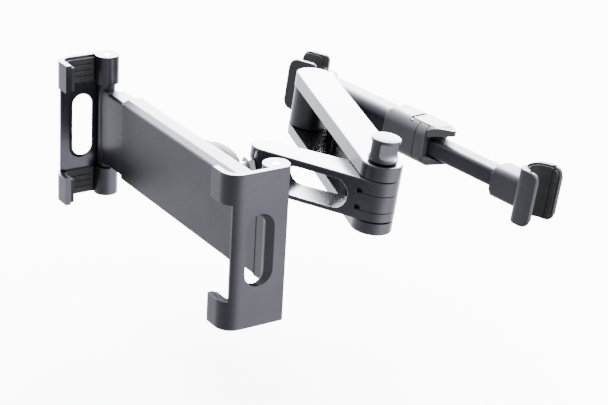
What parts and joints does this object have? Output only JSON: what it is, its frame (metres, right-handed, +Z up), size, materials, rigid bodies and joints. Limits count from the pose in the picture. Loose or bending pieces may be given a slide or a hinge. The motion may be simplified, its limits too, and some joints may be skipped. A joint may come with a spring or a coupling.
{
  "type": "headrest tablet mount",
  "caption": "Tablet holder for the back of a car seat: clamping bar with post hooks, folding arm, ball joint and sprung clamp with hinged jaws.",
  "frame": {"origin": "on the axis of the telescopic bar, midway between the two headrest posts", "axes": "+X along the bar to the sliding hook, -Y towards the person who looks at the tablet, +Z up along the headrest posts"},
  "size_m": [0.2097, 0.2207, 0.0907],
  "materials": {
    "anodised_aluminium": "satin anodised",
    "dark_aluminium": "satin anodised",
    "moulded_plastic": "fine grain",
    "acetal": "smooth",
    "rubber": "matt",
    "steel": "plain",
    "black_steel": "blackened"
  },
  "bodies": {
    "bar": {"shoulder_bracket": "dark_aluminium", "outer_tube": "anodised_aluminium", "tube_screws": "black_steel", "tube_bush": "acetal", "lock_collar": "moulded_plastic", "brake_shoe": "rubber", "lever_pin": "steel", "left_hook_pin": "steel"},
    "lever": {"lock_lever": "moulded_plastic"},
    "right_post_arm": {"inner_bar": "anodised_aluminium", "bar_slider": "acetal", "right_hook": "dark_aluminium", "right_hook_liner": "rubber", "right_hook_screw": "black_steel"},
    "left_post_hook": {"left_hook": "dark_aluminium", "left_hook_liner": "rubber"},
    "rear_arm": {"rear_link": "anodised_aluminium", "elbow_bolt": "steel", "elbow_washers": "acetal", "shoulder_bolt": "steel", "shoulder_washers": "acetal"},
    "knob": {"elbow_knob": "dark_aluminium"},
    "front_arm": {"front_link": "anodised_aluminium", "ball_stud": "steel"},
    "pan_shell": {"ball_liner_inner": "acetal"},
    "tilt_shell": {"ball_liner_outer": "acetal"},
    "clamp": {"clamp_body": "dark_aluminium", "front_panel": "anodised_aluminium", "panel_screws": "black_steel", "left_spring": "steel", "right_spring": "steel"},
    "lock_ring": {"ball_lock_ring": "moulded_plastic"},
    "right_slide": {"right_carriage": "dark_aluminium", "right_jaw_pin": "steel"},
    "left_slide": {"left_carriage": "dark_aluminium", "left_jaw_pin": "steel"},
    "right_grip": {"right_jaw": "dark_aluminium", "right_jaw_pads": "rubber"},
    "left_grip": {"left_jaw": "dark_aluminium", "left_jaw_pads": "rubber"}
  },
  "joints": [
    {"name": "post_spacing", "type": "slide", "parent": "bar", "child": "right_post_arm", "axis": [1, 0, 0], "range_m": [-0.0195, 0.0095]},
    {"name": "lever_lift", "type": "hinge", "parent": "bar", "child": "lever", "pos_m": [0.002, 0, 0.0119], "axis": [0, -1, 0], "range_deg": [0, 60]},
    {"name": "left_hook_swivel", "type": "hinge", "parent": "bar", "child": "left_post_hook", "pos_m": [-0.07757, 0.00672, 0], "axis": [0, 0, 1], "range_deg": [-25, 25]},
    {"name": "shoulder_swing", "type": "hinge", "parent": "bar", "child": "rear_arm", "pos_m": [-0.0622, -0.0224, -0.00065], "axis": [0, 0, 1], "range_deg": [-120, 26]},
    {"name": "knob_turn", "type": "hinge", "parent": "rear_arm", "child": "knob", "pos_m": [0.04888, -0.08397, -0.00065], "axis": [0, 0, 1], "range_deg": [-180, 180]},
    {"name": "elbow_swing", "type": "hinge", "parent": "rear_arm", "child": "front_arm", "pos_m": [0.04888, -0.08397, -0.00065], "axis": [0, 0, 1], "range_deg": [-32, 112]},
    {"name": "ball_pan", "type": "hinge", "parent": "front_arm", "child": "pan_shell", "pos_m": [-0.01349, -0.13675, -0.00255], "axis": [0.0627, 0.0726, -0.9954], "range_deg": [-18, 18]},
    {"name": "ball_tilt", "type": "hinge", "parent": "pan_shell", "child": "tilt_shell", "pos_m": [-0.01349, -0.13675, -0.00255], "axis": [0.9784, -0.2013, 0.0469], "range_deg": [-18, 18]},
    {"name": "ball_roll", "type": "hinge", "parent": "tilt_shell", "child": "clamp", "pos_m": [-0.01349, -0.13675, -0.00255], "axis": [0.197, 0.9768, 0.0837], "continuous": true},
    {"name": "ring_turn", "type": "hinge", "parent": "clamp", "child": "lock_ring", "pos_m": [-0.01349, -0.13675, -0.00255], "axis": [0.197, 0.9768, 0.0837], "range_deg": [-120, 120]},
    {"name": "right_pull", "type": "slide", "parent": "clamp", "child": "right_slide", "axis": [0.9784, -0.2013, 0.0469], "range_m": [0, 0.03], "stiffness_N_per_m": 200, "springref_m": -0.02},
    {"name": "left_pull", "type": "slide", "parent": "clamp", "child": "left_slide", "axis": [-0.9784, 0.2013, -0.0469], "range_m": [0, 0.03], "stiffness_N_per_m": 200, "springref_m": -0.02},
    {"name": "right_fold", "type": "hinge", "parent": "right_slide", "child": "right_grip", "pos_m": [0.06638, -0.17526, -0.00033], "axis": [0.0627, 0.0726, -0.9954], "range_deg": [0, 72]},
    {"name": "left_fold", "type": "hinge", "parent": "left_slide", "child": "left_grip", "pos_m": [-0.10191, -0.14064, -0.0084], "axis": [-0.0627, -0.0726, 0.9954], "range_deg": [0, 72]}
  ]
}
